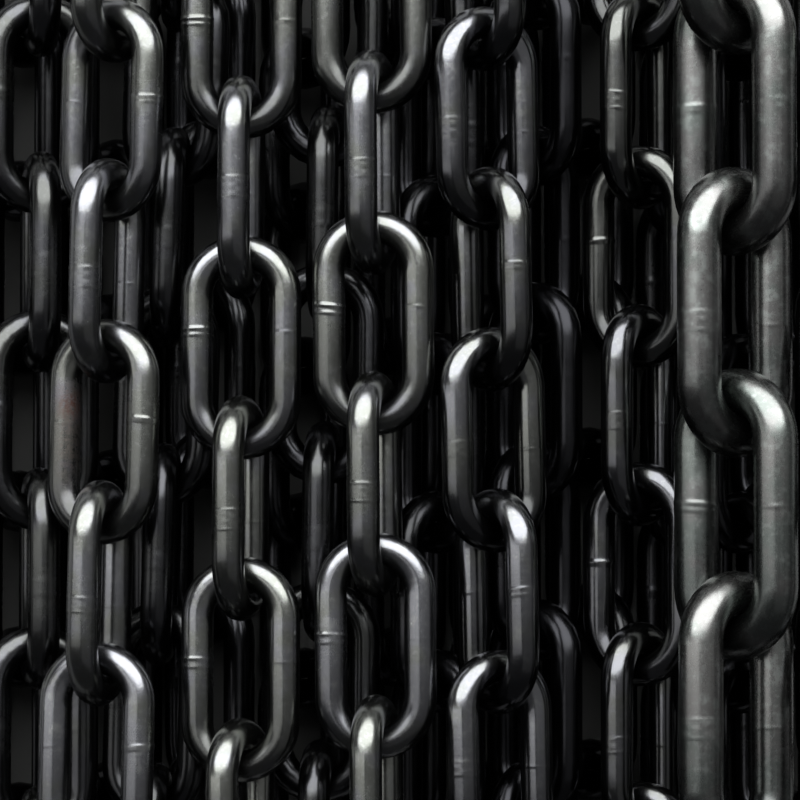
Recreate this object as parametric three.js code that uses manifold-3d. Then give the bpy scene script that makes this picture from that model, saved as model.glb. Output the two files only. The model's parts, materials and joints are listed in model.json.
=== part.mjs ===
// A heap of welded round-link conveyor chain. Straight strands lie side by side along Y
// in layers, and each strand rests on the ones beneath it. Millimetres, +Z up.
import * as THREE from "three";
import Module from "manifold-3d";

const wasm = await Module();
wasm.setup();

// Chain sizes: bar diameter, pitch (inside length of a link), outside width, and the play
// left between two linked links.
const MAIN_CHAIN = { bar: 16, pitch: 80, width: 60, play: 0.5 };
const HEAVY_CHAIN = { bar: 22, pitch: 100, width: 72, play: 0.6 };

const LINKS_IN_STRAND = 7;
const LINKS_IN_HEAVY_STRAND = 5;

// Floor layer: links stand at 45 degrees, as a strand lies on level ground. Neighbours are
// staggered along Y, and where one has its flatter links the next has its steeper ones.
const FLOOR_STRANDS = 11;
const FLOOR_SPACING = 48.5;
const FLOOR_ROLL = 45;
const FLOOR_STAGGER = 11;

// Faceting: sides of the bar and chords around each half circle. The chords are even in
// number, so that the crown and both legs stay true to size.
const LINK_FACETS = { sides: 8, chords: 6 };
const STRAND_FACETS = { sides: 6, chords: 4 };

// A strand is lowered from DROP_START in steps of DROP_STEP until it meets those beneath it,
// the last step is halved DROP_HALVINGS times, and REST_GAP stays clear at the contact.
const DROP_START = 200;
const DROP_STEP = 2;
const DROP_HALVINGS = 8;
const REST_GAP = 0.3;

// Strands over the floor layer, from the bottom up. x is the strand's place across the heap
// and y the middle link's place along it. Its flatter links lie flat degrees from level with
// their right leg higher, and its steeper ones steep degrees from upright with their near leg
// to the left. Towards +Y the strand twists by so many degrees a link, and lean turns the
// whole strand in the level plane. steepMiddle says that the middle link is a steep one.
const BACK_STRANDS = [
  { name: "back_strand_1", x: -240, y: 12, flat: 42, steep: 42, steepMiddle: true },
  { name: "back_strand_2", x: -180.5, y: -6, flat: -14, steep: -10, steepMiddle: false },
  { name: "back_strand_3", x: -117, y: 6, flat: 30, steep: 2, steepMiddle: false, lean: -1.6 },
  { name: "back_strand_4", x: -37.5, y: 17, flat: 8, steep: 6, steepMiddle: false, lean: -0.7 },
  { name: "back_strand_5", x: 19, y: 62, flat: -45, steep: -45, steepMiddle: false },
  { name: "back_strand_6", x: 67.5, y: 8, flat: 45, steep: 45, steepMiddle: false },
  { name: "back_strand_7", x: 171, y: -18, flat: 45, steep: 45, steepMiddle: true },
  { name: "back_strand_8", x: 223, y: 22, flat: 45, steep: 45, steepMiddle: false },
];
const TOP_STRANDS = [
  { name: "strand_5", x: 120, y: -4, flat: 24, steep: 34, steepMiddle: true },
  { name: "strand_1", x: -146, y: -14, flat: 26, steep: 22, steepMiddle: false, twist: 4, lean: -1.2 },
  { name: "strand_2", x: -78.5, y: 28, flat: 6, steep: 12, steepMiddle: false, twist: -3.5 },
  { name: "strand_3", x: -12.4, y: -40, flat: 4, steep: 14, steepMiddle: true, lean: 0.4 },
  { name: "strand_4", x: 46.3, y: -18, flat: 57, steep: 55, steepMiddle: true, lean: 1.1 },
];
const SIDE_STRAND = { name: "side_strand", x: 227, y: -14, flat: 44, steep: 44, steepMiddle: true };
const HEAVY_STRAND = { name: "heavy_strand", x: 165, y: 44.5, flat: 42, steep: 48, steepMiddle: true };

const DEGREE = Math.PI / 180;

const blackenedSteel = new THREE.MeshStandardMaterial({
  name: "blackened_steel",
  color: 0x1b1d1f,
  roughness: 0.32,
  metalness: 1,
});
const greySteel = new THREE.MeshStandardMaterial({
  name: "grey_steel",
  color: 0x2c302f,
  roughness: 0.36,
  metalness: 1,
});

// Distance from the middle line of a link to the middle line of its bar.
function legOffset(chain) {
  return (chain.width - chain.bar) / 2;
}

// Length of the straight part of each leg.
function straightLength(chain) {
  return chain.pitch - (chain.width - 2 * chain.bar);
}

// Corner radius of a regular section with the same area as the round bar.
function cornerRadius(chain, sides) {
  const step = (2 * Math.PI) / sides;
  return (chain.bar / 2) * Math.sqrt((2 * Math.PI) / (sides * Math.sin(step)));
}

// How far a corner between two chords of a half circle stands out past the circle.
function cornerStretch(chords) {
  return 1 / Math.cos(Math.PI / (2 * chords));
}

// Centreline of one link in its own plane: two half circles joined by straight legs. The
// chords lie tangent to the circles, and each stop is the corner between two of them, with
// the direction that points out of the link there.
function centreline(chain, chords) {
  const stops = [];
  for (const end of [1, -1]) {
    for (let chord = 0; chord < chords; chord += 1) {
      const angle = Math.PI * ((chord + 0.5) / chords + (end > 0 ? 0 : 1));
      const out = new THREE.Vector2(Math.cos(angle), Math.sin(angle));
      const place = out.clone().multiplyScalar(legOffset(chain) * cornerStretch(chords));
      place.y += (end * straightLength(chain)) / 2;
      stops.push({ place, out });
    }
  }
  return stops;
}

// One closed link: the bar's section carried once round the centreline. A facet faces the
// neighbour at the crown, or a corner where the links of a strand are to be joined.
function linkGeometry(chain, facets, cornerInwards) {
  const { sides, chords } = facets;
  const radius = cornerRadius(chain, sides);
  const turn = cornerInwards ? 0 : 0.5;
  const stops = centreline(chain, chords);
  const positions = [];
  const index = [];
  stops.forEach(({ place, out }, ring) => {
    const next = (ring + 1) % stops.length;
    for (let side = 0; side < sides; side += 1) {
      const angle = ((side + turn) * 2 * Math.PI) / sides;
      const reach = radius * Math.cos(angle) * cornerStretch(chords);
      positions.push(place.x + out.x * reach, place.y + out.y * reach, radius * Math.sin(angle));
      const after = (side + 1) % sides;
      const a = ring * sides + side;
      const b = next * sides + side;
      const c = next * sides + after;
      const d = ring * sides + after;
      index.push(a, b, c, a, c, d);
    }
  });
  const geometry = new THREE.BufferGeometry();
  geometry.setAttribute("position", new THREE.Float32BufferAttribute(positions, 3));
  geometry.setIndex(index);
  geometry.computeVertexNormals();
  return geometry;
}

// A closed geometry as a solid that can be joined and cut, and a solid as a geometry.
function solidFrom(geometry) {
  const vertProperties = new Float32Array(geometry.attributes.position.array);
  const triVerts = new Uint32Array(geometry.index.array);
  return new wasm.Manifold(new wasm.Mesh({ numProp: 3, vertProperties, triVerts }));
}

function geometryFrom(solid) {
  const mesh = solid.getMesh();
  const geometry = new THREE.BufferGeometry();
  geometry.setAttribute("position", new THREE.BufferAttribute(mesh.vertProperties, 3));
  geometry.setIndex(new THREE.BufferAttribute(mesh.triVerts, 1));
  geometry.computeVertexNormals();
  return geometry;
}

// Places along Y and turns about Y of a strand's links, from its -Y end to its +Y end.
function linkPlaces(strand, chain, count) {
  const half = (count - 1) / 2;
  const places = [];
  for (let step = -half; step <= half; step += 1) {
    const isSteep = (Math.abs(step) % 2 === 0) === strand.steepMiddle;
    const roll = isSteep ? strand.steep + 90 : strand.flat;
    const angle = (roll + step * (strand.twist ?? 0)) * DEGREE;
    places.push({ along: step * (chain.pitch - chain.play), angle });
  }
  return places;
}

// All links of a strand as one solid, at the strand's place with its line at height zero.
function strandSolid(strand, chain, count, facets, cornerInwards) {
  const links = linkPlaces(strand, chain, count).map(({ along, angle }) => {
    const link = linkGeometry(chain, facets, cornerInwards);
    link.rotateY(-angle);
    link.translate(0, along, 0);
    link.rotateZ((strand.lean ?? 0) * DEGREE);
    link.translate(strand.x, strand.y, 0);
    return solidFrom(link);
  });
  return links.reduce((sum, link) => sum.add(link));
}

// Height at which a strand comes to rest on the solids already laid.
function restingHeight(solid, laid) {
  const meets = (height) => {
    const lowered = solid.translate([0, 0, height]);
    return laid.some((lower) => !lowered.intersect(lower).isEmpty());
  };
  let clear = DROP_START;
  while (!meets(clear - DROP_STEP)) {
    clear -= DROP_STEP;
  }
  let blocked = clear - DROP_STEP;
  for (let halving = 0; halving < DROP_HALVINGS; halving += 1) {
    const between = (clear + blocked) / 2;
    if (meets(between)) {
      blocked = between;
    } else {
      clear = between;
    }
  }
  return clear + REST_GAP;
}

// Name of a floor strand, counted from the left. The middle one is the layer's core.
function floorName(place) {
  const names = ["floor_strand_left", "floor_layer_core", "floor_strand_right"];
  const half = (FLOOR_STRANDS - 1) / 2;
  return place % half === 0 ? names[place / half] : `floor_strand_${place + 1}`;
}

// A floor strand, with a flat where each of its lower legs touches the floor.
function floorStrandSolid(place) {
  const strand = {
    x: (place - (FLOOR_STRANDS - 1) / 2) * FLOOR_SPACING,
    y: (((place * 5) % 4) - 1.5) * FLOOR_STAGGER,
    flat: FLOOR_ROLL,
    steep: FLOOR_ROLL,
    steepMiddle: place % 2 === 0,
  };
  const height = legOffset(MAIN_CHAIN) * Math.sin(FLOOR_ROLL * DEGREE) + MAIN_CHAIN.bar / 2;
  const solid = strandSolid(strand, MAIN_CHAIN, LINKS_IN_STRAND, STRAND_FACETS, true);
  return solid.translate([0, 0, height]).trimByPlane([0, 0, 1], 0);
}

// A strand as a group of separate links, each its own mesh.
function looseStrand(strand, chain, count, height, material) {
  const group = new THREE.Group();
  group.position.set(strand.x, strand.y, height);
  group.rotation.z = (strand.lean ?? 0) * DEGREE;
  const geometry = linkGeometry(chain, LINK_FACETS, false);
  linkPlaces(strand, chain, count).forEach(({ along, angle }, at) => {
    const link = new THREE.Mesh(geometry, material);
    link.name = `${strand.name}_link_${at + 1}`;
    link.position.y = along;
    link.rotation.y = -angle;
    group.add(link);
  });
  return group;
}

function buildHeap() {
  const heap = new THREE.Group();
  const laid = [];
  const addMesh = (name, solid, material) => {
    const mesh = new THREE.Mesh(geometryFrom(solid), material);
    mesh.name = name;
    heap.add(mesh);
    laid.push(solid);
  };

  // Floor layer.
  for (let place = 0; place < FLOOR_STRANDS; place += 1) {
    addMesh(floorName(place), floorStrandSolid(place), blackenedSteel);
  }

  // Strands that stay one solid each, with their links joined at the crowns.
  const layJoined = (strand) => {
    const solid = strandSolid(strand, MAIN_CHAIN, LINKS_IN_STRAND, STRAND_FACETS, true);
    const height = restingHeight(solid, laid);
    addMesh(strand.name, solid.translate([0, 0, height]), blackenedSteel);
  };
  BACK_STRANDS.forEach(layJoined);
  layJoined(SIDE_STRAND);

  // Strands that are laid link by link.
  const layLoose = (strand, chain, count, material) => {
    const solid = strandSolid(strand, chain, count, LINK_FACETS, false);
    const height = restingHeight(solid, laid);
    heap.add(looseStrand(strand, chain, count, height, material));
    laid.push(solid.translate([0, 0, height]));
  };
  for (const strand of TOP_STRANDS) {
    layLoose(strand, MAIN_CHAIN, LINKS_IN_STRAND, blackenedSteel);
  }
  layLoose(HEAVY_STRAND, HEAVY_CHAIN, LINKS_IN_HEAVY_STRAND, greySteel);
  return heap;
}

// The origin is the middle of the footprint, on the floor.
const heap = buildHeap();
heap.updateMatrixWorld(true);
const box = new THREE.Box3().setFromObject(heap, true);
const middle = box.getCenter(new THREE.Vector3());
heap.position.set(-middle.x, -middle.y, -box.min.z);
heap.updateMatrixWorld(true);

export default heap;
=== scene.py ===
# %% [markdown]
# A heap of conveyor chain, dressed link by link
#
# The object is raw stock: strands of welded round-link chain that lie side by side in
# layers. Every link is a round steel bar bent into a long loop and closed by one weld in
# the middle of a leg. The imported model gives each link's size and place, and this script
# lays a smooth, welded, blackened link over each of them.

# %% Load the fixed frame
import json
import math
from collections import namedtuple

import bpy
import numpy as np
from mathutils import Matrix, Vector

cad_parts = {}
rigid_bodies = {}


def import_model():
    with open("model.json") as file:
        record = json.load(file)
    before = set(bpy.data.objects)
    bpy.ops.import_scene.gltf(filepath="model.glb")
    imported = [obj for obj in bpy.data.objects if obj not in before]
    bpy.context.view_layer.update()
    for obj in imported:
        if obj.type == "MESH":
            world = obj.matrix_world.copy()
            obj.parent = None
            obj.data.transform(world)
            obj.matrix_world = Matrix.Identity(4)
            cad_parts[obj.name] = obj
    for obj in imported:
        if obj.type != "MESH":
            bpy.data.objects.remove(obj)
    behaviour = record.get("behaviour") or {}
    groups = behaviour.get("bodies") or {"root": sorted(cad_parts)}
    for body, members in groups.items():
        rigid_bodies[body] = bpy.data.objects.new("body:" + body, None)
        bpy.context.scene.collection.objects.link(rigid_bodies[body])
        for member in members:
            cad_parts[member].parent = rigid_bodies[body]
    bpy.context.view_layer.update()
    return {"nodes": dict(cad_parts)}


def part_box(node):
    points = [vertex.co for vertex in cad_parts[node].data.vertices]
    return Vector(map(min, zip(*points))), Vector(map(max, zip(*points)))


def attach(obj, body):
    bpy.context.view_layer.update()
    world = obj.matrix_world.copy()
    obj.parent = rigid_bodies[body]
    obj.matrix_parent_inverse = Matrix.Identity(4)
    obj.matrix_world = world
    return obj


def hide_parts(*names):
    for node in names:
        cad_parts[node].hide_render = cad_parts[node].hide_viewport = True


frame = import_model()
print("nodes in the frame:", len(frame["nodes"]))

# %% [markdown]
# Chain sizes
#
# A chain is named by its bar and its pitch, which is the length inside a link. The width is
# measured outside. Everything else about a link follows from these three. The step from one
# link to the next is the pitch less a little play. All lengths are in metres here, because
# that is Blender's unit.

# %% Sizes of the two chains
MAIN = {"bar": 0.016, "pitch": 0.080, "width": 0.060, "step": 0.0795}
HEAVY = {"bar": 0.022, "pitch": 0.100, "width": 0.072, "step": 0.0994}


def bend_radius(chain):
    """Radius of the half circle that the bar's middle follows at each end of a link."""
    return (chain["width"] - chain["bar"]) / 2


def leg_length(chain):
    """Length of the straight part of each leg: the pitch less the two inner half circles."""
    return chain["pitch"] - (chain["width"] - 2 * chain["bar"])


for title, chain in (("main", MAIN), ("heavy", HEAVY)):
    print(title, "bend radius", round(bend_radius(chain), 4), "leg", round(leg_length(chain), 4))

# %% [markdown]
# One link as a surface of two parameters
#
# A link could be a curve with a round bevel, or a torus pulled apart by a modifier. Here it
# is worked out on a grid instead, because the weld has to change the bar's thickness at one
# place. The first parameter runs round the loop along the bar's middle line, and the second
# runs round the bar.

# %% Distances along the bar at which the grid has a ring
WELD_ZONE = 0.48
ZONE_MARGIN = 1.05
TRIAL_RINGS = (16, 6, 11)
TRIAL_WELD = 0.003


def ring_stops(chain, arc_rings, leg_rings, weld_rings, weld_at):
    """Distances along the loop, from the middle of the right leg, at which a ring stands.

    Rings are even along each leg and each half circle. Within WELD_ZONE bars of the weld
    they stand close together, and so they do at the same height on the other leg. The even
    ones are left out there, within ZONE_MARGIN times that distance.
    """
    leg, arc = leg_length(chain), math.pi * bend_radius(chain)
    zone = WELD_ZONE * chain["bar"]
    coarse = np.linspace(-leg / 2, leg / 2, leg_rings, endpoint=False)

    def one_leg(height):
        fine = height + np.linspace(-zone, zone, weld_rings)
        return np.concatenate([coarse[np.abs(coarse - height) > zone * ZONE_MARGIN], fine])

    right = one_leg(weld_at)
    left = leg + arc + one_leg(-weld_at)
    top = leg / 2 + np.linspace(0, arc, arc_rings, endpoint=False)
    bottom = top + leg + arc
    return np.sort(np.concatenate([right, top, left, bottom]))


print("rings round a trial link:", len(ring_stops(MAIN, *TRIAL_RINGS, TRIAL_WELD)))

# %% [markdown]
# The bar's middle line is a racetrack: two straight legs joined by two half circles. The
# same formula serves both halves of it, because the left half is the right half turned half
# way round.

# %% Middle line of the bar
def middle_line(chain, along):
    """Points on the bar's middle line and the directions out of the link there.

    x is across the link and y along it. Along a leg only y changes, and along an end the
    point turns about the end's centre at the bend radius.
    """
    radius, leg = bend_radius(chain), leg_length(chain)
    half_loop = leg + math.pi * radius
    from_start = np.mod(along + leg / 2, 2 * half_loop)
    turned = np.where(from_start >= half_loop, -1.0, 1.0)
    local = np.mod(from_start, half_loop)
    angle = np.clip((local - leg) / radius, 0, math.pi)
    out = np.stack([np.cos(angle), np.sin(angle)], axis=1)
    place = out * radius
    place[:, 1] += np.clip(local, 0, leg) - leg / 2
    return place * turned[:, None], out * turned[:, None]


print("middle of the right leg:", np.round(middle_line(MAIN, np.zeros(1))[0][0], 4))

# %% [markdown]
# The weld
#
# The two bar ends are pressed together red hot and the squeezed-out steel is trimmed off.
# That leaves a band a little thicker than the bar, with a raised ring at each edge, one of
# them trimmed closer than the other. The rings aren't quite square to the bar, and their
# height changes on the way round it. The jaws that grip the other leg leave one fainter
# ring there.

# %% Radius of the bar at each point of the grid
# The first four are in bars. The next four are shares of the radius, apart from WAVE_RATE,
# which says in radians to the metre how fast the bar goes from thick to thin and back. A
# ring's height is RING_BASE of the usual plus a sine for each pair of RING_WAVES, which says
# how many waves go round the bar and how high they are. The last is the depth of the band's
# dimples, as a share of its height.
SWELLING = 0.005
JAW_RING = 0.004
RING_TILT = 0.06
SCORCH_REACH = 0.9
OUT_OF_ROUND = 0.006
THICK_AND_THIN = 0.004
WAVE_RATE = 90
FLATTENING = 0.03
RING_BASE = 0.9
RING_WAVES = ((1, 0.4), (3, 0.3), (7, 0.25))
DIMPLES = 0.5


def bar_radius(chain, along, round_bar, weld_at, band, draw):
    """The bar's radius at each ring and each angle round it, and two marks there: the weld's
    raised part, and the scorched stretch on either side of it.

    It is half the bar, plus a band between two soft steps at the weld, dimpled by a sine
    round the bar times a sine along it, plus a narrow bell curve at each edge of the band and
    one on the other leg, whose heights change with sines of the angle. The bar is also out of
    round by about a hundredth, and a bend flattens its outer side.
    """
    bar = chain["bar"]
    half_loop = leg_length(chain) + math.pi * bend_radius(chain)
    edge, width = band["half"] * bar, band["width"] * bar
    phase = draw.uniform(0, 2 * math.pi, 4)
    tilt = draw.uniform(-RING_TILT, RING_TILT) * bar * np.cos(round_bar + phase[1])
    from_weld = along - weld_at + tilt
    from_jaw = along - (half_loop - weld_at) + tilt
    uneven = RING_BASE
    for (waves, height), start in zip(RING_WAVES, phase[[0, 1, 3]]):
        uneven = uneven + height * np.sin(waves * round_bar + start)
    dimples = np.sin(5 * round_bar + phase[2]) * np.sin(from_weld / width * 0.9 + phase[3])
    rough = 1 + DIMPLES * dimples
    swollen = 0.5 * (np.tanh((from_weld + edge) / width) - np.tanh((from_weld - edge) / width))
    rings = np.exp(-(((from_weld + edge) / width) ** 2))
    rings = band["second"] * rings + np.exp(-(((from_weld - edge) / width) ** 2))
    jaw_ring = np.exp(-((from_jaw / width) ** 2))
    raised = SWELLING * swollen * rough + (band["ring"] * rings + JAW_RING * jaw_ring) * uneven
    wander = OUT_OF_ROUND * np.sin(2 * round_bar + phase[3])
    wander = wander + THICK_AND_THIN * np.sin(along * WAVE_RATE + phase[2])
    bend = np.abs(middle_line(chain, along[:, 0])[1][:, 1])[:, None]
    flattened = -FLATTENING * bend * np.clip(np.cos(round_bar), 0, 1) ** 2
    marks = {
        "weld": np.clip(0.3 * swollen + rings, 0, 1),
        "scorch": np.exp(-((from_weld / (SCORCH_REACH * bar)) ** 2)),
    }
    return bar / 2 * (1 + 2 * raised + wander + flattened), marks


trial_band = {"half": 0.3, "ring": 0.02, "width": 0.05, "second": 0.6}
trial_along = ring_stops(MAIN, *TRIAL_RINGS, TRIAL_WELD)[:, None]
trial_round_bar = np.linspace(0, 2 * math.pi, 24, endpoint=False)[None, :]
trial_draw = np.random.default_rng(1)
radii = bar_radius(MAIN, trial_along, trial_round_bar, TRIAL_WELD, trial_band, trial_draw)[0]
print("radius of a trial bar: from", round(radii.min(), 5), "to", round(radii.max(), 5))

# %% Grid of one link in its own plane
def link_surface(chain, rings, sides, weld_at, band, draw):
    """Points (ring, side, xyz) of one link with its plane in x and y, its marks and each
    ring's distance along the loop.

    Each point is the middle line's point, plus the radius times the cosine of the angle
    round the bar along the outward direction, plus the radius times its sine across the
    link's plane.
    """
    along = ring_stops(chain, *rings, weld_at)
    round_bar = np.linspace(0, 2 * math.pi, sides, endpoint=False)[None, :]
    place, out = middle_line(chain, along)
    radius, marks = bar_radius(chain, along[:, None], round_bar, weld_at, band, draw)
    points = np.zeros((len(along), sides, 3))
    points[..., :2] = place[:, None, :] + out[:, None, :] * (radius * np.cos(round_bar))[..., None]
    points[..., 2] = radius * np.sin(round_bar)
    return points, marks, along


trial = link_surface(MAIN, TRIAL_RINGS, 24, TRIAL_WELD, trial_band, trial_draw)[0]
print("a trial link measures", np.round(np.ptp(trial.reshape(-1, 3), axis=0), 4))

# %% [markdown]
# Where every link lies
#
# A separate link's place is the middle of its node's box. A strand that the frame keeps as
# one solid gives the strand's middle, and its links follow at one step. What a box can't
# tell is how far the links are rolled about the strand's own length, so that is named here.
# The flatter links of a strand lie so many degrees from level with their right leg higher,
# and the steeper ones so many degrees from upright with their upper leg to the left.

# %% Rolls of the strands
# Rolls of the flatter and the steeper links, twist per link towards +Y, lean in the level
# plane, all in degrees, and whether the middle link is a steep one.
Lie = namedtuple("Lie", "flat steep twist lean steep_middle")
LIE = {
    "strand_1": Lie(26, 22, 4, -1.2, False),
    "strand_2": Lie(6, 12, -3.5, 0, False),
    "strand_3": Lie(4, 14, 0, 0.4, True),
    "strand_4": Lie(57, 55, 0, 1.1, True),
    "strand_5": Lie(24, 34, 0, 0, True),
    "heavy_strand": Lie(42, 48, 0, 0, True),
    "back_strand_1": Lie(42, 42, 0, 0, True),
    "back_strand_2": Lie(-14, -10, 0, 0, False),
    "back_strand_3": Lie(30, 2, 0, -1.6, False),
    "back_strand_4": Lie(8, 6, 0, -0.7, False),
    "back_strand_5": Lie(-45, -45, 0, 0, False),
    "back_strand_6": Lie(45, 45, 0, 0, False),
    "back_strand_7": Lie(45, 45, 0, 0, True),
    "back_strand_8": Lie(45, 45, 0, 0, False),
    "side_strand": Lie(44, 44, 0, 0, True),
}
FLOOR_STRANDS = ["floor_strand_left"] + ["floor_strand_%d" % number for number in range(2, 6)]
FLOOR_STRANDS += ["floor_layer_core"] + ["floor_strand_%d" % number for number in range(7, 11)]
FLOOR_STRANDS += ["floor_strand_right"]
FLOOR_ROLL = 45
for place, name in enumerate(FLOOR_STRANDS):
    LIE[name] = Lie(FLOOR_ROLL, FLOOR_ROLL, 0, 0, place % 2 == 0)
LINKS = 7
HEAVY_LINKS = 5
print("strands:", len(LIE))


# %% Place and turn of a link
def middle_of(node):
    """Middle of a node's box."""
    low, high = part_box(node)
    return (np.array(low) + np.array(high)) / 2


def is_steep(strand, step):
    """Whether the link this many places from the strand's middle is a steeper one, which
    every second link is."""
    return (abs(step) % 2 == 0) == LIE[strand].steep_middle


def link_angle(strand, step):
    """Turn about the strand's length of the link this many places from its middle: its roll,
    a quarter turn more if it is a steep one, and the twist for each place."""
    lie = LIE[strand]
    roll = lie.steep + 90 if is_steep(strand, step) else lie.flat
    return math.radians(roll + step * lie.twist)


def laid(points, angle, lean, centre):
    """Points turned about y by the roll, then about z by the strand's lean, then moved."""
    x = points[..., 0] * math.cos(angle) - points[..., 2] * math.sin(angle)
    z = points[..., 0] * math.sin(angle) + points[..., 2] * math.cos(angle)
    y = points[..., 1]
    across = x * math.cos(lean) - y * math.sin(lean)
    ahead = x * math.sin(lean) + y * math.cos(lean)
    return np.stack([across, ahead, z], axis=-1) + centre


turns = [round(math.degrees(link_angle("strand_1", step))) for step in (-1, 0, 1)]
print("turns of three links of strand_1:", turns)

# %% [markdown]
# From grid to mesh
#
# The grid closes on itself both ways, so every corner of the last row joins the first. Each
# link also carries its own texture map, u along the bar and v round it, for streaks that
# follow the bar, and its marks, as one attribute each. They say where the weld and its
# scorched stretch are, where a leg has rusted, how far the strand is rubbed smooth, and how
# much painted shade darkens the link, and give a shade of the link's own, because no two
# links of a real chain have been heated and handled alike.

# %% Mesh object of one or more links
# One mark is painted shade, for the deep strands and towards each link's lower bend.
MARKS = ("weld", "scorch", "shade", "painted_shade", "rust", "polish")


def closed_faces(rings, sides):
    """Four corners of each face of a grid that closes both ways, as (ring, side, corner)."""
    index = np.arange(rings * sides).reshape(rings, sides)
    ahead = np.roll(index, -1, axis=0)
    return np.stack([index, ahead, np.roll(ahead, -1, axis=1), np.roll(index, -1, axis=1)], axis=-1)


def corner_map(chain, along, sides):
    """Texture map (ring, side, corner, uv): distance along the loop and angle, from 0 to 1."""
    loop = 2 * (leg_length(chain) + math.pi * bend_radius(chain))
    start = (along - along[0]) / loop
    end = np.append(start[1:], 1.0)
    low = np.arange(sides) / sides
    high = low + 1 / sides
    u = np.stack([start, end, end, start], axis=-1)[:, None, :]
    v = np.stack([low, low, high, high], axis=-1)[None, :, :]
    return np.stack(np.broadcast_arrays(u, v), axis=-1)


def chain_object(name, chain, links, material):
    """One object from links given as (points, marks, distances). Each link's faces count on
    from the points of the links before it."""
    places, faces, maps = [], [], []
    layers = {title: [] for title in MARKS}
    count = 0
    for points, marks, along in links:
        rings, sides = points.shape[:2]
        places.append(points.reshape(-1, 3))
        faces.append(closed_faces(rings, sides).reshape(-1, 4) + count)
        maps.append(corner_map(chain, along, sides).reshape(-1, 2))
        for title in MARKS:
            layers[title].append(np.broadcast_to(marks[title], (rings, sides)).ravel())
        count += rings * sides
    mesh = bpy.data.meshes.new(name)
    mesh.from_pydata(np.concatenate(places), [], np.concatenate(faces))
    mesh.uv_layers.new(name="bar").data.foreach_set("uv", np.concatenate(maps).ravel())
    for title, values in layers.items():
        layer = mesh.attributes.new(title, "FLOAT", "POINT")
        layer.data.foreach_set("value", np.concatenate(values))
    mesh.shade_smooth()
    mesh.materials.append(material)
    piece = bpy.data.objects.new(name, mesh)
    bpy.context.scene.collection.objects.link(piece)
    return piece


print("faces on a grid of 3 rings and 4 sides:", closed_faces(3, 4)[..., 0].size)

# %% [markdown]
# Shader maths
#
# A material is a formula for each point of a surface. The small class here wraps the output
# of a node, so that the formula can be written as plain sums and products, and each one adds
# the Math node that it needs. One method of the finish makes every node.

# %% A number that changes over a surface
class Varying:
    """A node's output in a material. Sums and products with it add Math nodes."""

    def __init__(self, finish, socket):
        self.finish = finish
        self.socket = socket

    def combine(self, operation, *values):
        """One Math node on numbers or other varying values."""
        return self.finish.node("ShaderNodeMath", {"operation": operation}, dict(enumerate(values)))

    def __add__(self, other):
        return self.combine("ADD", self, other)

    def __sub__(self, other):
        return self.combine("SUBTRACT", self, other)

    def __rsub__(self, other):
        return self.combine("SUBTRACT", other, self)

    def __mul__(self, other):
        return self.combine("MULTIPLY", self, other)

    __radd__ = __add__
    __rmul__ = __mul__

    def between(self, low, high):
        """Zero below low, one above high, and smooth between them."""
        return self.finish.node(
            "ShaderNodeMapRange",
            {"interpolation_type": "SMOOTHSTEP"},
            {"Value": self, "From Min": low, "From Max": high},
        )


# %% A material and its nodes
class Finish:
    """A material under construction."""

    def __init__(self, name):
        self.material = bpy.data.materials.new(name)
        self.material.use_nodes = True
        self.tree = self.material.node_tree
        self.surface = self.tree.nodes["Principled BSDF"]

    def node(self, kind, settings, inputs, output=0):
        """Adds a node, sets it, fills or links its sockets and gives one of its outputs."""
        node = self.tree.nodes.new(kind)
        for key, value in settings.items():
            setattr(node, key, value)
        self.fill(node, inputs)
        return Varying(self, node.outputs[output])

    def fill(self, node, inputs):
        """Links a varying value to its socket, and sets any other value on the socket."""
        for key, value in inputs.items():
            if isinstance(value, Varying):
                self.tree.links.new(value.socket, node.inputs[key])
            else:
                node.inputs[key].default_value = value

    def noise(self, place, scale, detail=2.0, roughness=0.5):
        """Cloudy pattern, mostly between 0.25 and 0.75, with features one over scale across."""
        inputs = {"Vector": place, "Scale": scale, "Detail": detail, "Roughness": roughness}
        return self.node("ShaderNodeTexNoise", {}, inputs)

    def mix(self, factor, first, second):
        """Colour between two colours."""
        return self.node("ShaderNodeMix", {"data_type": "RGBA"}, {0: factor, 6: first, 7: second}, 2)

    def stretched(self, place, scale):
        """Place multiplied by a scale of its own along each axis."""
        return self.node("ShaderNodeVectorMath", {"operation": "MULTIPLY"}, {0: place, 1: scale})

    def attribute(self, name):
        """One of the marks that the mesh carries."""
        return self.node("ShaderNodeAttribute", {"attribute_name": name}, {}, "Fac")


print("marks that a finish can read:", ", ".join(MARKS))

# %% [markdown]
# Blackened, oiled steel
#
# Chain leaves the furnace with a thin black scale and is dipped in oil. The scale isn't even:
# it has clouds of another tint, worn places where links rubbed, fine lines along the bar
# from drawing, and fine rings round it beside the weld. It could be a black plastic-like
# surface with a bright gloss, but that leaves the bends grey instead of white. So it is a
# dark metal that throws back about a fifth of the light, smooth enough for hard white
# reflections on a nearly black body, with a thin coat for the oil.

# %% Patterns and colours that both kinds of chain share
# Noise features to the metre, from the broadest pattern to the finest. Lines and rings are
# noise on the bar's own map, with so many features along the bar and so many round it.
CLOUDS = 42.0
PATCHES = 130.0
MOTTLES = 420.0
GRAINS = 1100.0
DRAWN_LINES = (6.0, 46.0, 1.0)
SCORCH_RINGS = (190.0, 2.0, 1.0)
# Painted shade goes towards the first of these colours. The second is real rust.
PAINTED_SHADE_BLACK = (0.02, 0.02, 0.022, 1)
RUST_BROWN = (0.055, 0.015, 0.006, 1)
RELIEF_HEIGHT = 0.0005
OIL_COAT = 0.25
print("clouds", round(1 / CLOUDS, 4), "m across, grains", round(1 / GRAINS, 4), "m across")


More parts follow.
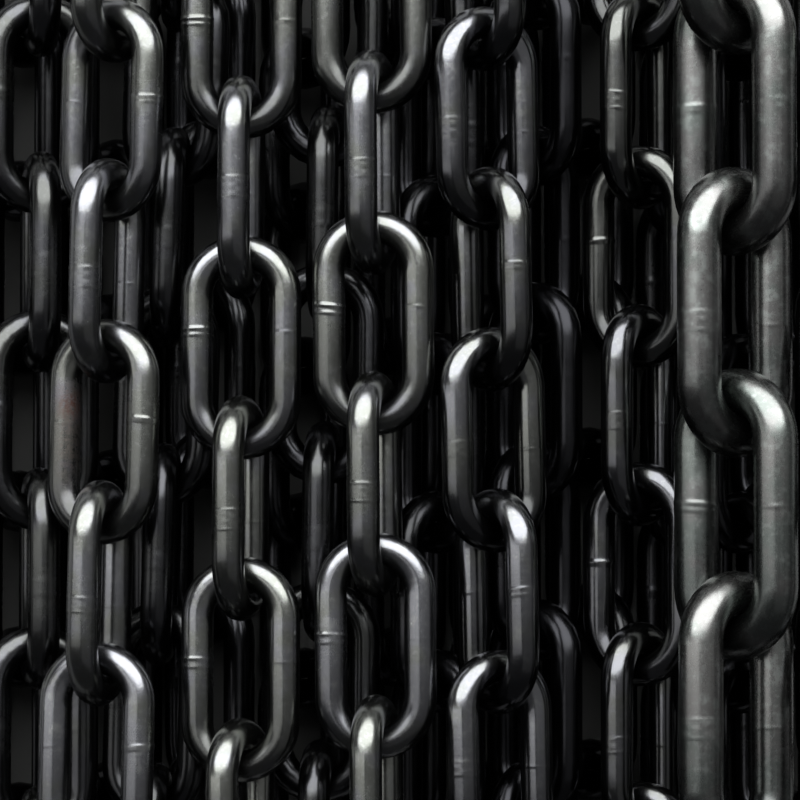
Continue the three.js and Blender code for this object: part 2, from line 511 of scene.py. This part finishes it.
# %% Steel finish for one kind of chain
def steel_finish(name, colours, cloud_cover, gloss, mottling, relief):
    """Finish from three colours, dark to worn, how far the worn patches spread, the roughness
    before its patterns are added, how much the small mottles are lighter, and how deep the
    fine relief is. Each pattern or mark adds its share to the colour, the roughness and the
    height of the bump."""
    finish = Finish(name)
    dark, tint, worn = colours
    place = finish.node("ShaderNodeTexCoord", {}, {}, "Object")
    along_bar = finish.node("ShaderNodeUVMap", {"uv_map": "bar"}, {})
    weld, scorch, shade, painted_shade, rust, polish = (finish.attribute(title) for title in MARKS)
    clouds = finish.noise(place, CLOUDS, 4.0, 0.6)
    patches = finish.noise(place, PATCHES, 4.0, 0.6)
    mottle = finish.noise(place, MOTTLES, 4.0, 0.65)
    grain = finish.noise(place, GRAINS, 3.0, 0.6)
    lines = finish.noise(finish.stretched(along_bar, DRAWN_LINES), 1.0, 3.0, 0.55)
    rings = finish.noise(finish.stretched(along_bar, SCORCH_RINGS), 1.0, 2.0, 0.6)
    tinted = (clouds + shade * 0.2).between(0.5, 0.7)
    rubbed = (patches + shade * 0.08).between(0.62 - cloud_cover, 0.8 - cloud_cover)
    stain = rust * (mottle * 0.7 + grain * 0.5).between(0.35, 0.75)
    colour = finish.mix(tinted, dark, tint)
    colour = finish.mix(rubbed * 0.5, colour, worn)
    colour = finish.mix(mottle.between(0.5, 0.72) * mottling, colour, worn)
    colour = finish.mix(weld * 0.3, colour, worn)
    # Painted shade: the colour goes towards black where the mark says so, and the oil coat thins
    # with it.
    colour = finish.mix(painted_shade, colour, PAINTED_SHADE_BLACK)
    colour = finish.mix(stain, colour, RUST_BROWN)
    roughness = gloss + 0.1 * patches + 0.08 * mottle + 0.1 * lines
    roughness = roughness + 0.05 * scorch + 0.25 * stain - 0.05 * polish
    height = 0.35 * patches + 0.4 * lines + 0.12 * grain + 0.35 * rings * scorch
    bumped = finish.node(
        "ShaderNodeBump",
        {},
        {"Strength": relief, "Distance": RELIEF_HEIGHT, "Height": height},
        "Normal",
    )
    finish.fill(finish.surface, {
        "Base Color": colour,
        "Metallic": 1.0 - 0.35 * stain,
        "Roughness": roughness,
        "Normal": bumped,
        "Coat Weight": OIL_COAT - OIL_COAT * painted_shade,
        "Coat Roughness": 0.25,
        "Coat IOR": 1.5,
    })
    return finish.material


blackened = steel_finish(
    "blackened_steel",
    colours=((0.168, 0.173, 0.157, 1), (0.187, 0.189, 0.201, 1), (0.305, 0.31, 0.3, 1)),
    cloud_cover=0.02,
    gloss=0.095,
    mottling=0.35,
    relief=0.17,
)
grey = steel_finish(
    "grey_steel",
    colours=((0.15, 0.166, 0.153, 1), (0.185, 0.182, 0.175, 1), (0.32, 0.345, 0.325, 1)),
    cloud_cover=0.06,
    gloss=0.13,
    mottling=0.32,
    relief=0.18,
)
print("finishes:", blackened.name, grey.name)

# %% [markdown]
# Laying the chain
#
# The strands that show best get the finest grid. The ones behind them, in the deep shade,
# get fewer rings and sides, which nobody can tell there. The deeper a strand lies, the darker
# its colour is painted, as painted shade, and two of the top strands get some of it too.
# Every link is also painted darker towards its end at -Y, down to its lower bend, as painted
# shade. Three strands have been rubbed smoother than the others, one of them only a little,
# and one leg has a rust spot with a faint trail. A flat link is welded on its left leg in most
# strands, with a narrow band, and a steep link shows a wider, lower band.

# %% How finely a link is made, and its weld
FINE = {"rings": (20, 7, 27), "sides": 28}
PLAIN = {"rings": (12, 4, 13), "sides": 16}
# The weld's place along its leg, in metres from the leg's middle, and how far it is off that
# place at most from link to link.
WELD_HEIGHT = {"flat": 0.005, "steep": -0.004}
WELD_SPREAD = 0.0025
# The band's half length and the rings' height and half width, in bars. The second ring is
# this share of the first, and in two strands both are trimmed to a share of the usual.
BAND_HALF = {"flat": (0.02, 0.14), "steep": (0.2, 0.32)}
RING_HEIGHT = {"flat": (0.014, 0.025), "steep": (0.004, 0.009)}
RING_WIDTH = {"flat": 0.05, "steep": 0.036}
SECOND_RING = {"flat": 0.5, "steep": 0.9}
RING_SHARE = {"heavy_strand": 0.6, "strand_4": 0.4}
RIGHT_LEG_WELDS = {"strand_1", "strand_4"}
# A link is rolled by up to this many degrees more or less than its strand says.
ROLL_SPREAD = 0.9
print("points of a fine link:", len(ring_stops(MAIN, *FINE["rings"], 0)) * FINE["sides"])

# %% Painted shade, polish and rust
# Painted shade of each strand, from 0 for none to 1 for black: most on the deep strands, some on two
# top strands.
PAINTED_SHADE = {
    "strand_4": 0.12,
    "strand_5": 0.42,
    "back_strand_1": 0.5,
    "back_strand_2": 0.65,
    "back_strand_3": 0.82,
    "back_strand_4": 0.78,
    "back_strand_5": 0.93,
    "back_strand_6": 0.98,
    "back_strand_7": 0.9,
    "back_strand_8": 0.5,
    "side_strand": 0.5,
}
for name in FLOOR_STRANDS:
    PAINTED_SHADE[name] = 0.9
# How dark the painted shade makes a lower bend, and over how many leg lengths it grows.
USUAL_LOWER_BEND_SHADE = 0.75
LOWER_BEND_SHADE = {"strand_4": 0.95}
LOWER_BEND_SHADE_REACH = 1.3
# How far a strand is rubbed smooth, from 0 to 1.
POLISH = {"strand_4": 0.9, "strand_5": 1.0, "strand_2": 0.2}
# The rusty link's strand and place, the spot's height above the leg's middle and its half
# length in metres, the angle round the bar that it faces, and how fast it fades from there.
# The trail lies lower by TRAIL_DOWN, and has TRAIL_SHARE of the spot's strength.
RUSTY_LINK = ("strand_1", 0)
RUST_UP = 0.014
RUST_HALF_LENGTH = 0.0075
RUST_FACING = 2.6
RUST_FADE = 1.5
TRAIL_DOWN = 0.02
TRAIL_HALF_LENGTH = 0.02
TRAIL_SHARE = 0.45


def lower_bend_shade_mark(chain, height):
    """Share of the painted shade at each height: none at the upper bend, growing evenly down
    the leg, and whole at the lower bend."""
    leg = leg_length(chain)
    return np.clip((leg / 2 - height) / (LOWER_BEND_SHADE_REACH * leg), 0, 1)


def rust_mark(chain, along):
    """A bell curve along the left leg, just above its middle, and a fainter one below it
    where the rust has run, both on the side that faces the link's opening."""
    centre = leg_length(chain) + math.pi * bend_radius(chain) - RUST_UP
    round_bar = np.linspace(0, 2 * math.pi, FINE["sides"], endpoint=False)[None, :]
    facing = np.clip(np.cos(round_bar - RUST_FACING), 0, 1) ** RUST_FADE
    below = along[:, None] - centre
    stain = np.exp(-((below / RUST_HALF_LENGTH) ** 2))
    trail = TRAIL_SHARE * np.exp(-(((below - TRAIL_DOWN) / TRAIL_HALF_LENGTH) ** 2))
    return (stain + trail) * facing


# Shows the share of painted shade from the upper bend down.
print("oil from the upper bend down:", np.round(lower_bend_shade_mark(MAIN, np.linspace(0.05, -0.05, 5)), 2))

# %% One link in its place
draw = np.random.default_rng(7)


def one_link(strand, chain, step, centre, grid):
    """Points, marks and distances of one link, laid in its place. The weld is on the link's
    right leg, and a half turn brings it to the left."""
    steep = is_steep(strand, step)
    kind = "steep" if steep else "flat"
    weld_at = WELD_HEIGHT[kind] + draw.uniform(-1, 1) * WELD_SPREAD
    band = {
        "half": draw.uniform(*BAND_HALF[kind]),
        "ring": draw.uniform(*RING_HEIGHT[kind]) * RING_SHARE.get(strand, 1.0),
        "width": RING_WIDTH[kind],
        "second": SECOND_RING[kind],
    }
    points, marks, along = link_surface(chain, grid["rings"], grid["sides"], weld_at, band, draw)
    # Painted shade that grows towards the lower bend.
    lower_bend_shade = LOWER_BEND_SHADE.get(strand, USUAL_LOWER_BEND_SHADE) * lower_bend_shade_mark(chain, points[..., 1])
    half_turn = 0 if steep or strand in RIGHT_LEG_WELDS else math.pi
    jitter = math.radians(draw.uniform(-1, 1) * ROLL_SPREAD)
    lean = math.radians(LIE[strand].lean)
    points = laid(points, link_angle(strand, step) + half_turn + jitter, lean, centre)
    marks["shade"] = draw.uniform(0, 1)
    painted_shade = PAINTED_SHADE.get(strand, 0.0)
    # Painted shade: the strand's own share, plus more towards the lower bend.
    marks["painted_shade"] = painted_shade + (1 - painted_shade) * lower_bend_shade
    marks["polish"] = POLISH.get(strand, 0.0)
    marks["rust"] = rust_mark(chain, along) if (strand, step) == RUSTY_LINK else 0.0
    return points, marks, along


# %% Every strand in turn
def lay_loose(strand, chain, count, material):
    """A strand whose links are nodes of their own: one object for each link, from the end
    towards -Y to the other."""
    for number in range(count):
        node = "%s_link_%d" % (strand, number + 1)
        link = one_link(strand, chain, number - count // 2, middle_of(node), FINE)
        piece = chain_object("steel_" + node, chain, [link], material)
        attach(piece, "root")
        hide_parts(node)


def lay_joined(strand, material):
    """A strand that the frame keeps as one node: one object for all of its links.

    The solid of a floor strand is flat where it touches the floor, which puts the middle of
    its box a little too high. So that height is worked out: half the bar, plus how far the
    bar's middle line runs below the strand's in the lower legs.
    """
    lean = math.radians(LIE[strand].lean)
    direction = np.array([-math.sin(lean), math.cos(lean), 0.0])
    middle = middle_of(strand)
    if strand in FLOOR_STRANDS:
        lower_legs_down = bend_radius(MAIN) * math.sin(math.radians(LIE[strand].flat))
        middle[2] = MAIN["bar"] / 2 + lower_legs_down
    links = []
    for step in range(-(LINKS // 2), LINKS // 2 + 1):
        centre = middle + direction * step * MAIN["step"]
        links.append(one_link(strand, MAIN, step, centre, PLAIN))
    piece = chain_object("steel_" + strand, MAIN, links, material)
    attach(piece, "root")
    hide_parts(strand)


for number in range(1, 6):
    lay_loose("strand_%d" % number, MAIN, LINKS, blackened)
lay_loose("heavy_strand", HEAVY, HEAVY_LINKS, grey)

for number in range(1, 9):
    lay_joined("back_strand_%d" % number, blackened)
lay_joined("side_strand", blackened)
for strand in FLOOR_STRANDS:
    lay_joined(strand, blackened)
pieces = [piece for piece in bpy.data.objects if piece.name.startswith("steel_")]
print("triangles in the chain:", 2 * sum(len(piece.data.polygons) for piece in pieces))

# %% [markdown]
# Floor, light and camera
#
# The chain lies on a plain pale floor with a dark patch under the heap, painted shade that
# keeps the gaps between the links black. Black gloss shows almost nothing but the lights, so
# they are placed by their reflections. A wide key light beyond the far end whitens the upper
# bend of every link. A dimmer one round it softens the edge of that white.
# A long dim strip at the left draws the grey line down each leg, and a broad faint one at the
# right keeps the other side of the leg from going black. All stand far off, so that every
# link gets the same reflection, and so does the camera, with a long lens, because near and
# deep strands show at almost one scale.

# %% Pale floor
PALE_TONES = ((0.245, 0.245, 0.243, 1), (0.257, 0.257, 0.255, 1))
# Colour of the painted shade under the heap.
PAINTED_SHADE_TONE = (0.03, 0.03, 0.028, 1)
FLOOR_CLOUDS = 3.0
PATCH_EDGE = 0.85


def pale_floor(size, shade_patch):
    """A square of floor, with a dark patch of painted shade under the chain.

    A place's distances from the middle are divided by the dark patch's half widths and
    squared. The patch ends where the length of those two squares is one, and begins to fade
    at PATCH_EDGE.
    """
    mesh = bpy.data.meshes.new("floor")
    half = size / 2
    corners = [(-half, -half, 0), (half, -half, 0), (half, half, 0), (-half, half, 0)]
    mesh.from_pydata(corners, [], [(0, 1, 2, 3)])
    finish = Finish("pale_floor")
    place = finish.node("ShaderNodeTexCoord", {}, {}, "Object")
    tone = finish.noise(place, FLOOR_CLOUDS).between(0.2, 0.8)
    colour = finish.mix(tone, *PALE_TONES)
    scaled = finish.stretched(place, (1 / shade_patch[0], 1 / shade_patch[1], 1.0))
    squared = finish.stretched(scaled, scaled)
    reach = finish.node("ShaderNodeVectorMath", {"operation": "LENGTH"}, {0: squared}, "Value")
    # Painted shade: dark inside the patch, fading out to the pale floor at its edge.
    colour = finish.mix(reach.between(PATCH_EDGE, 1.0), PAINTED_SHADE_TONE, colour)
    finish.fill(finish.surface, {"Base Color": colour, "Roughness": 0.7})
    mesh.materials.append(finish.material)
    floor = bpy.data.objects.new("floor", mesh)
    bpy.context.scene.collection.objects.link(floor)
    print("floor:", size, "m wide, dark for", shade_patch, "m each way from the middle")


pale_floor(size=12.0, shade_patch=(0.25, 0.275))


# %% Softboxes
COOL_WHITE = (0.97, 0.985, 1.0)
PLAIN_WHITE = (1.0, 1.0, 1.0)


def softbox(name, shape, target, direction, distance, size, power, colour):
    """A flat light of the given shape that faces the target from a direction. Its width and
    height are in metres and its power in watts."""
    light = bpy.data.lights.new(name, "AREA")
    light.shape = shape
    light.size, light.size_y = size
    light.energy = power
    light.color = colour
    holder = bpy.data.objects.new(name, light)
    holder.location = target + Vector(direction).normalized() * distance
    holder.rotation_euler = (target - holder.location).to_track_quat("-Z", "Y").to_euler()
    bpy.context.scene.collection.objects.link(holder)


# The middle of the view is this far to the right of one link's middle and beyond it, and so
# high above the floor.
VIEW_SHIFT = (0.0125, 0.042)
VIEW_HEIGHT = 0.111
middle_link = middle_of("strand_3_link_4")
view_centre = Vector((middle_link[0] + VIEW_SHIFT[0], middle_link[1] + VIEW_SHIFT[1], VIEW_HEIGHT))
for name, shape, direction, distance, size, power, colour in (
    ("key", "ELLIPSE", (-0.06, 0.676, 0.737), 8.0, (19.0, 8.3), 1665, COOL_WHITE),
    ("rim", "ELLIPSE", (-0.06, 0.669, 0.743), 8.2, (21.5, 10.65), 665, COOL_WHITE),
    ("side", "RECTANGLE", (-0.7, 0.02, 0.7), 8.0, (1.2, 11.2), 82, PLAIN_WHITE),
    ("fill", "RECTANGLE", (0.55, 0.0, 0.83), 8.0, (11.0, 11.0), 60, PLAIN_WHITE),
):
    softbox(name, shape, view_centre, direction, distance, size, power, colour)
    print("light:", name, power, "W")

# %% Faint light from all round
WORLD_COLOUR = (0.95, 0.97, 1.0, 1)
WORLD_STRENGTH = 0.11

world = bpy.data.worlds.new("studio")
world.use_nodes = True
background = world.node_tree.nodes["Background"]
background.inputs["Color"].default_value = WORLD_COLOUR
background.inputs["Strength"].default_value = WORLD_STRENGTH
bpy.context.scene.world = world
print("light from all round:", WORLD_STRENGTH)

# %% Camera over the heap
CAMERA_DISTANCE = 2.5
CAMERA_ELEVATION = 87
LENS = 227.5

camera = bpy.data.objects.new("camera", bpy.data.cameras.new("camera"))
camera.data.lens = LENS
camera.data.sensor_width = 36
tilt = math.radians(CAMERA_ELEVATION)
camera.location = view_centre + Vector((0, -math.cos(tilt), math.sin(tilt))) * CAMERA_DISTANCE
camera.rotation_euler = (view_centre - camera.location).to_track_quat("-Z", "Y").to_euler()
camera.data.clip_start = 0.01
bpy.context.scene.collection.objects.link(camera)
bpy.context.scene.camera = camera
bpy.context.scene.view_settings.view_transform = "Standard"
print("camera at", [round(value, 3) for value in camera.location])
